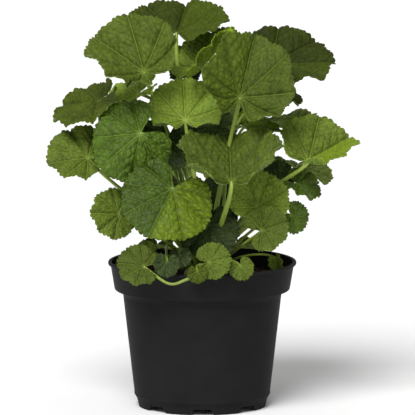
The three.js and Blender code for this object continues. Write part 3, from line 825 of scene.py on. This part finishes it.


# %% [markdown]
# ## Blades as solids
# A blade is a fan of rings round the stalk, once for the upper side and once for the lower side,
# half a millimetre apart, with a strip that closes the edge. Points also keep their flat place,
# for the veins, and three values that the finish reads: painted light through the blade, painted
# shade in the creases and beside the veins, and tone, which is partly painted light and shade.

# %% Build one blade
def blade_mesh(name, leaf):
    """A closed thin blade. Its flat coordinates and side are stored for the leaf finish."""
    size, seed = leaf["size"], ruffle_seed(name)
    end = math.pi - SINUS
    count = int(teeth(size) * (end / math.pi) * POINTS_PER_TOOTH) + 1
    rings = max(8, int(size / GRID))
    angles = np.linspace(-end, end, count)
    steps = np.linspace(0, 1, rings + 1)[1:]
    # the teeth only shape the outer part, so the veins inside stay straight
    smooth = outline(angles, size, seed, toothed=False)
    sharp = outline(angles, size, seed)
    mix = steps[:, None] ** 6
    reach = steps[:, None] * size * (smooth * (1 - mix) + sharp * mix)
    x = np.concatenate([[0.0], (reach * np.cos(angles)).ravel()])
    y = np.concatenate([[0.0], (reach * np.sin(angles)).ravel()])

    step = 0.02 * size
    middle = blade_points(leaf, seed, x, y)
    along_x = blade_points(leaf, seed, x + step, y) - blade_points(leaf, seed, x - step, y)
    along_y = blade_points(leaf, seed, x, y + step) - blade_points(leaf, seed, x, y - step)
    normal = np.cross(along_x, along_y)
    normal /= np.linalg.norm(normal, axis=1, keepdims=True)
    # creases: how much painted shade the finish lays on each point, in the creases and beside the veins
    height, creases = relief(leaf, seed, x, y)
    raised = middle + normal * height[:, None]
    upper = raised + normal * BLADE_THICKNESS / 2
    lower = raised - normal * BLADE_THICKNESS / 2
    points = np.vstack([upper, lower])
    total = len(middle)

    i = np.arange(count - 1)
    faces = [np.stack([np.zeros(count - 1, int), 1 + i, 2 + i], 1)]
    for ring in range(1, rings):
        inner = 1 + (ring - 1) * count + i
        outer = inner + count
        faces.append(np.stack([inner, outer, outer + 1], 1))
        faces.append(np.stack([inner, outer + 1, inner + 1], 1))
    top = np.vstack(faces)
    bottom = top[:, ::-1] + total
    last = (rings - 1) * count
    edge = [0, *range(1, last, count), *range(1 + last, 1 + last + count), *range(last, 0, -count)]
    edge = np.array(edge)
    onward = np.roll(edge, -1)
    rim = np.vstack([
        np.stack([edge, edge + total, onward + total], 1),
        np.stack([edge, onward + total, onward], 1),
    ])
    made = mesh_object("blade_" + name, points, np.vstack([top, bottom, rim]))
    slots = np.ones(len(top) + len(bottom) + len(rim), np.int32)
    slots[:len(top)] = 0
    made.data.polygons.foreach_set("material_index", slots)
    flat = made.data.attributes.new("flat", "FLOAT_VECTOR", "POINT")
    flat_values = np.stack([x, y, np.full_like(x, size)], 1)
    flat.data.foreach_set("vector", np.vstack([flat_values, flat_values]).astype(np.float32).ravel())
    # tone scales the leaf's colour: partly the leaf's own lighter or darker green, partly painted light
    # and shade
    tone = np.full_like(x, leaf.get("tone", 1))
    paint = {"lit": light_through(leaf, x, y), "crease": creases, "tone": tone}
    for label, values in paint.items():
        layer = made.data.attributes.new(label, "FLOAT", "POINT")
        layer.data.foreach_set("value", np.concatenate([values, values]).astype(np.float32))
    return made


def light_through(leaf, x, y):
    """How much painted yellow-green, for light from behind, lies on a half: 0 none, 1 full."""
    half = leaf.get("glow", 0)
    across = np.clip(y / (0.12 * leaf["size"]) * np.sign(half) + 0.2, 0, 1)
    return across * abs(half)


# %% [markdown]
# ## Leaf finish
# The upper side of a hollyhock leaf is green with paler veins. Fine hairs make the upper leaves
# look dusty and matt. The dark finish is glossier, and its darker green on the inner and low
# leaves is painted shade; the shaded finish is a darker olive, also painted shade; and the pale
# finish is the lighter green of young leaves and painted light on leaves that their neighbours
# shade. The underside is downy. A leaf's wax has an IOR of about 1.45. The vein pattern is worked
# out in the material from the blade's flat coordinates, by the same formula as the relief: main
# veins every 38 degrees, side veins off them, and a fine net of about three millimetres between.
# Light through a blade is painted, a yellow-green laid over one half, so it is the same from every
# side. Shade is painted as well: the colour is darkened in the creases and beside the veins, and
# lightened on the puckers, by the crease values of the relief.

# %% Vein pattern
# Each line is a result, an operation and its values. A word is an earlier result.
VEIN_FORMULA = [
    ("x_square", "MULTIPLY", "x", "x"),
    ("radius_square", "MULTIPLY_ADD", "y", "y", "x_square"),
    ("radius", "SQRT", "radius_square"),
    ("angle", "ARCTAN2", "y", "x"),
    ("steps", "DIVIDE", "angle", VEIN_STEP),
    ("nearest_step", "ROUND", "steps"),
    ("vein_angle", "MULTIPLY", "nearest_step", VEIN_STEP),
    ("off", "SUBTRACT", "angle", "vein_angle"),
    ("off_sine", "SINE", "off"),
    ("off_cosine", "COSINE", "off"),
    ("sideways", "MULTIPLY", "radius", "off_sine"),
    ("across", "ABSOLUTE", "sideways"),
    ("along", "MULTIPLY", "radius", "off_cosine"),
    ("reach", "DIVIDE", "radius", "size"),
    ("taper", "MULTIPLY_ADD", "reach", -0.6, 1.0),
    ("vein_scale", "MULTIPLY_ADD", "size", 0.01, 0.35),
    ("width", "MULTIPLY", "taper", "vein_scale"),
    ("core", "MULTIPLY", "width", 0.35),
    ("spacing", "MULTIPLY_ADD", "size", 0.11, 4.0),
    ("slanted", "MULTIPLY_ADD", "across", -0.9, "along"),
    ("side_steps", "DIVIDE", "slanted", "spacing"),
    ("nearest_side", "ROUND", "side_steps"),
    ("side_off", "SUBTRACT", "side_steps", "nearest_side"),
    ("side_gap", "ABSOLUTE", "side_off"),
    ("to_side", "MULTIPLY", "side_gap", "spacing"),
]
print("steps in the vein formula:", len(VEIN_FORMULA))


def vein_pattern(tree):
    """The flat coordinates, and three masks for main veins, side veins and the fine net."""
    flat = add(tree, "ShaderNodeAttribute", {"attribute_name": "flat"}).outputs["Vector"]
    split = add(tree, "ShaderNodeSeparateXYZ", Vector=flat).outputs
    known = {"x": split["X"], "y": split["Y"], "size": split["Z"]}
    for result, operation, *terms in VEIN_FORMULA:
        sockets = {f"in{i}": known.get(term, term) for i, term in enumerate(terms)}
        known[result] = add(tree, "ShaderNodeMath", {"operation": operation}, **sockets).outputs[0]
    main = add(
        tree, "ShaderNodeMapRange", Value=known["across"],
        From_Min=known["core"], From_Max=known["width"], To_Min=1.0, To_Max=0.0,
    )
    side = add(
        tree, "ShaderNodeMapRange", Value=known["to_side"],
        From_Min=0.15, From_Max=0.7, To_Min=1.0, To_Max=0.0,
    )
    cells = add(tree, "ShaderNodeTexVoronoi", {"feature": "DISTANCE_TO_EDGE"}, Vector=flat, Scale=0.3)
    net = add(
        tree, "ShaderNodeMapRange", Value=cells.outputs["Distance"],
        From_Min=0.02, From_Max=0.14, To_Min=1.0, To_Max=0.0,
    )
    return flat, main.outputs[0], side.outputs[0], net.outputs[0]


# %% Leaf material
NET_STRENGTH = 0.12
MAIN_STRENGTH = 0.6
LIT_GREEN = "#677e14"


def leaf_finish(name, dark, light, vein, roughness, specular, side_strength=0.3, sheen=0.0):
    """A leaf's surface, from two greens, a vein colour, and how rough and shiny it is."""
    material, tree, shader = new_material(
        name, IOR=1.45, Specular_IOR_Level=specular, Sheen_Weight=sheen, Sheen_Roughness=0.5,
    )
    shader.inputs["Sheen Tint"].default_value = linear("#dfe8d0")
    flat, main, side, net = vein_pattern(tree)
    patches = add(tree, "ShaderNodeTexNoise", Vector=flat, Scale=0.055, Detail=4.0, Roughness=0.6)
    patches = add(tree, "ShaderNodeMapRange", Value=patches.outputs["Fac"], From_Min=0.3, From_Max=0.7)
    blotch = patches.outputs[0]
    base = add(
        tree, "ShaderNodeMix", {"data_type": "RGBA"}, Factor=blotch, A=linear(dark), B=linear(light),
    )
    glow = add(tree, "ShaderNodeAttribute", {"attribute_name": "lit"}).outputs["Fac"]
    bright = add(
        tree, "ShaderNodeMix", {"data_type": "RGBA"},
        Factor=glow, A=base.outputs["Result"], B=linear(LIT_GREEN),
    )
    # painted light and shade: the colour is darkened in the creases and beside the veins, and lightened on
    # the puckers
    crease = add(tree, "ShaderNodeAttribute", {"attribute_name": "crease"}).outputs["Fac"]
    painted_crease_shade = add(
        tree, "ShaderNodeMapRange", Value=crease,
        From_Min=0.1, From_Max=0.95, To_Min=1.17, To_Max=0.52,
    )
    shaded = add(
        tree, "ShaderNodeVectorMath", {"operation": "SCALE"},
        in0=bright.outputs["Result"], Scale=painted_crease_shade.outputs[0],
    )
    side_tint = add(tree, "ShaderNodeMath", {"operation": "MULTIPLY"}, in0=side, in1=side_strength)
    net_tint = add(tree, "ShaderNodeMath", {"operation": "MULTIPLY"}, in0=net, in1=NET_STRENGTH)
    main_tint = add(tree, "ShaderNodeMath", {"operation": "MULTIPLY"}, in0=main, in1=MAIN_STRENGTH)
    fine = add(
        tree, "ShaderNodeMath", {"operation": "MAXIMUM"},
        in0=side_tint.outputs[0], in1=net_tint.outputs[0],
    )
    veins = add(
        tree, "ShaderNodeMath", {"operation": "MAXIMUM"}, in0=main_tint.outputs[0], in1=fine.outputs[0],
    )
    veined = add(
        tree, "ShaderNodeMix", {"data_type": "RGBA"},
        Factor=veins.outputs[0], A=shaded.outputs[0], B=linear(vein),
    )
    # tone scales the whole colour: partly the leaf's own lighter or darker green, partly painted light and
    # shade
    tone = add(tree, "ShaderNodeAttribute", {"attribute_name": "tone"}).outputs["Fac"]
    final = add(
        tree, "ShaderNodeVectorMath", {"operation": "SCALE"}, in0=veined.outputs["Result"], Scale=tone,
    )
    tree.links.new(final.outputs[0], shader.inputs["Base Color"])
    rough = add(tree, "ShaderNodeMath", {"operation": "MULTIPLY_ADD"}, in0=blotch, in1=0.12, in2=roughness)
    tree.links.new(rough.outputs[0], shader.inputs["Roughness"])
    hair = add(tree, "ShaderNodeTexNoise", Vector=flat, Scale=1.6, Detail=3.0).outputs["Fac"]
    sunk = add(tree, "ShaderNodeMath", {"operation": "MULTIPLY"}, in0=net, in1=0.6).outputs[0]
    height = add(tree, "ShaderNodeMath", {"operation": "SUBTRACT"}, in0=hair, in1=sunk).outputs[0]
    bump = add(tree, "ShaderNodeBump", Strength=0.5, Distance=0.25 * MM, Height=height)
    tree.links.new(bump.outputs[0], shader.inputs["Normal"])
    return material


# %% The six leaf finishes
FINISH = {
    "dusty": leaf_finish("leaf_upper_hairy", "#3e4b14", "#586921", "#7b8d3a", 0.52, 0.14),
    "glossy": leaf_finish("leaf_upper_waxy", "#31430c", "#4d6719", "#728b34", 0.36, 0.2),
    # dark: glossier, with a darker green on inner and low leaves that is painted shade
    "dark": leaf_finish("leaf_upper_old", "#1f2a0f", "#35451b", "#526531", 0.42, 0.2),
    # shaded: a darker olive copy of the leaf green, painted shade
    "shaded": leaf_finish("leaf_upper_olive", "#303a09", "#475513", "#6a7a2c", 0.52, 0.12),
    # pale: the lighter green of young leaves, and painted light on leaves that their neighbours shade
    "pale": leaf_finish("leaf_upper_young", "#4e6018", "#687c28", "#8b9d48", 0.52, 0.14),
}
UNDERSIDE = leaf_finish(
    "leaf_underside_downy", "#55672a", "#75883c", "#9fb060", 0.7, 0.16, side_strength=0.45, sheen=0.05,
)
print("leaf finishes:", [finish.name for finish in (*FINISH.values(), UNDERSIDE)])

# %% Make the blades
blade_faces = 0
for leaf_name, leaf in LEAVES.items():
    blade = blade_mesh(leaf_name, leaf)
    blade.data.materials.append(FINISH[leaf["look"]])
    blade.data.materials.append(UNDERSIDE)
    blade_faces += len(blade.data.polygons)
    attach(blade, "root")
    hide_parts("leaf_" + leaf_name)
print("blade faces:", blade_faces)

# %% [markdown]
# ## Crown and stalks
# The stalks are round, a little ribbed and thicker at the foot, and they all leave one crown.
# A stalk is a circle swept along a path, so each path is drawn as a spline that holds the radius
# at its points, and Geometry Nodes sweeps them all at once.

# %% Stalk paths
CROWN = Vector((3, 0, SOIL_TOP))
STALK_BASE = 1.0
STALK_PER_SIZE = 1.3 / 60
PATH_POINTS = 40


def stalk_path(leaf):
    """Points from the crown to the underside of the blade, in millimetres."""
    tip, _, face = (Vector(axis) for axis in leaf_axes(leaf))
    end = Vector(leaf["at"]) - face * 0.3
    flat = Vector((end.x - CROWN.x, end.y - CROWN.y))
    lean = math.atan2(flat.length, end.z - CROWN.z)
    angle = math.atan2(flat.y, flat.x) + math.radians(leaf.get("turn", 0))
    ring = 5 + 12 * min(1, lean / 1.3)
    out = Vector((math.cos(angle), math.sin(angle), 0))
    start = CROWN + out * ring + Vector((0, 0, 4 + 8 * (1 - ring / 20)))
    if "via" in leaf:
        return spline_through([start, *(Vector(point) for point in leaf["via"]), end])
    span = (end - start).length
    rise = (out * 0.66 * math.sin(lean) + Vector((0, 0, 1))).normalized()
    arrive = (face * 0.8 + tip * 0.6).normalized()
    first = start + rise * span * leaf.get("lift", 0.35)
    second = end - arrive * span * leaf.get("arrive", 0.22)
    points = []
    for i in range(PATH_POINTS + 1):
        t = i / PATH_POINTS
        s = 1 - t
        points.append(start * s ** 3 + first * 3 * s * s * t + second * 3 * s * t * t + end * t ** 3)
    return points


def spline_through(knots, steps=12):
    """A smooth path through a few points."""
    ends = [knots[0] * 2 - knots[1], *knots, knots[-1] * 2 - knots[-2]]
    points = []
    for a, b, c, d in zip(ends, ends[1:], ends[2:], ends[3:]):
        for i in range(steps):
            t = i / steps
            points.append((b * 2 + (c - a) * t + (a * 2 - b * 5 + c * 4 - d) * t ** 2
                           + (b * 3 - a - c * 3 + d) * t ** 3) / 2)
    points.append(knots[-1])
    return points


# %% Draw every path
stalk_curve = bpy.data.curves.new("leaf_stalks", "CURVE")
stalk_curve.dimensions = "3D"
for leaf in LEAVES.values():
    path = stalk_path(leaf)
    radius = STALK_BASE + leaf["size"] * STALK_PER_SIZE
    spline = stalk_curve.splines.new("POLY")
    spline.points.add(len(path) - 1)
    for i, (point, place) in enumerate(zip(spline.points, path)):
        t = i / (len(path) - 1)
        point.co = (*(place * MM), 1)
        point.radius = radius * (1.22 - 0.42 * t + 0.25 * max(0, 1 - t * 8)) * MM
stalks = bpy.data.objects.new("leaf_stalks", stalk_curve)
bpy.context.collection.objects.link(stalks)
print("stalk paths:", len(stalk_curve.splines))

# %% [markdown]
# ## Stalk skin
# A fresh stalk is pale yellow-green and slightly shiny, a little duller at its foot and lighter
# higher up, with fine lengthwise ribs.

# %% Stalk material
def stalk_skin():
    """Pale, slightly shiny green, with lengthwise ribs."""
    material, tree, shader = new_material("fresh_stalk", Roughness=0.42, IOR=1.42)
    coords = add(tree, "ShaderNodeTexCoord").outputs["Object"]
    height = add(tree, "ShaderNodeSeparateXYZ", Vector=coords).outputs["Z"]
    low, high = SOIL_TOP * MM, (SOIL_TOP + 90) * MM
    up = add(tree, "ShaderNodeMapRange", Value=height, From_Min=low, From_Max=high).outputs[0]
    ramp = add(tree, "ShaderNodeValToRGB", Fac=up)
    ramp.color_ramp.elements[0].color = linear("#6f7a30")
    ramp.color_ramp.elements[1].color = linear("#98ad48")
    middle = ramp.color_ramp.elements.new(0.12)
    middle.color = linear("#869a38")
    stretched = add(tree, "ShaderNodeMapping", Vector=coords, Scale=(420, 420, 40)).outputs[0]
    streak = add(tree, "ShaderNodeTexNoise", Vector=stretched, Scale=1.0, Detail=3.0).outputs["Fac"]
    mixed = add(tree, "ShaderNodeMix", {"data_type": "RGBA", "blend_type": "MULTIPLY"}, Factor=0.45)
    tree.links.new(ramp.outputs["Color"], mixed.inputs["A"])
    shade = add(
        tree, "ShaderNodeMapRange", Value=streak, From_Min=0.3, From_Max=0.7, To_Min=0.55, To_Max=1.0,
    )
    tree.links.new(shade.outputs[0], mixed.inputs["B"])
    tree.links.new(mixed.outputs["Result"], shader.inputs["Base Color"])
    bump = add(tree, "ShaderNodeBump", Strength=0.3, Distance=0.2 * MM, Height=streak)
    tree.links.new(bump.outputs[0], shader.inputs["Normal"])
    return material


# %% Sweep the stalks
def sweep_tree():
    """Sweeps a circle along every spline, as thick as the spline's radius says."""
    tree, given, out = geometry_tree("stalk_sweep", [("Sides", "Int"), ("Material", "Material")])
    ring = add(tree, "GeometryNodeCurvePrimitiveCircle", Resolution=given["Sides"], Radius=1.0)
    radius = add(tree, "GeometryNodeInputRadius")
    tube = add(
        tree, "GeometryNodeCurveToMesh", Curve=given["Geometry"], Profile_Curve=ring.outputs[0],
        Scale=radius.outputs[0], Fill_Caps=True,
    )
    smooth = add(tree, "GeometryNodeSetShadeSmooth", Geometry=tube.outputs[0])
    real = add(tree, "GeometryNodeRealizeInstances", Geometry=smooth.outputs[0])
    finish = add(tree, "GeometryNodeSetMaterial", Geometry=real.outputs[0], Material=given["Material"])
    tree.links.new(finish.outputs[0], out)
    return tree


fresh_stalk = stalk_skin()
stalks = run_tree(stalks, sweep_tree(), {"Sides": 12, "Material": fresh_stalk})
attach(stalks, "root")
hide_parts("crown_and_stalks")
print("stalk faces:", len(stalks.data.polygons))

# %% [markdown]
# ## The crown
# The crown is the short thick stem that all the stalks leave. It is a turned bump, half in the
# soil, with a few ribs pressed into it, so that it doesn't look lathed.

# %% Crown
# radius, height over the soil, and the radius that the corner is rounded with
CROWN_PROFILE = [(0, -2, 0), (21, -2, 0), (21.5, 0, 2), (15, 9, 6), (7, 14, 5), (0, 15, 0)]
crown_profile = [(radius, SOIL_TOP + up, corner) for radius, up, corner in CROWN_PROFILE]
crown = turned("root_crown", rounded(crown_profile), 64)
crown_points = np.empty(len(crown.data.vertices) * 3, np.float32)
crown.data.vertices.foreach_get("co", crown_points)
crown_points = crown_points.reshape(-1, 3)
around = np.arctan2(crown_points[:, 1], crown_points[:, 0])
ribs = 1 + 0.05 * np.sin(9 * around + 1) + 0.03 * np.sin(23 * around)
crown_points[:, 0] = crown_points[:, 0] * ribs + CROWN.x * MM
crown_points[:, 1] = crown_points[:, 1] * ribs
crown.data.vertices.foreach_set("co", crown_points.ravel())
crown.data.update()
crown.data.materials.append(fresh_stalk)
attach(crown, "root")
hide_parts("crown_and_stalks")
print("crown faces:", len(crown.data.polygons))
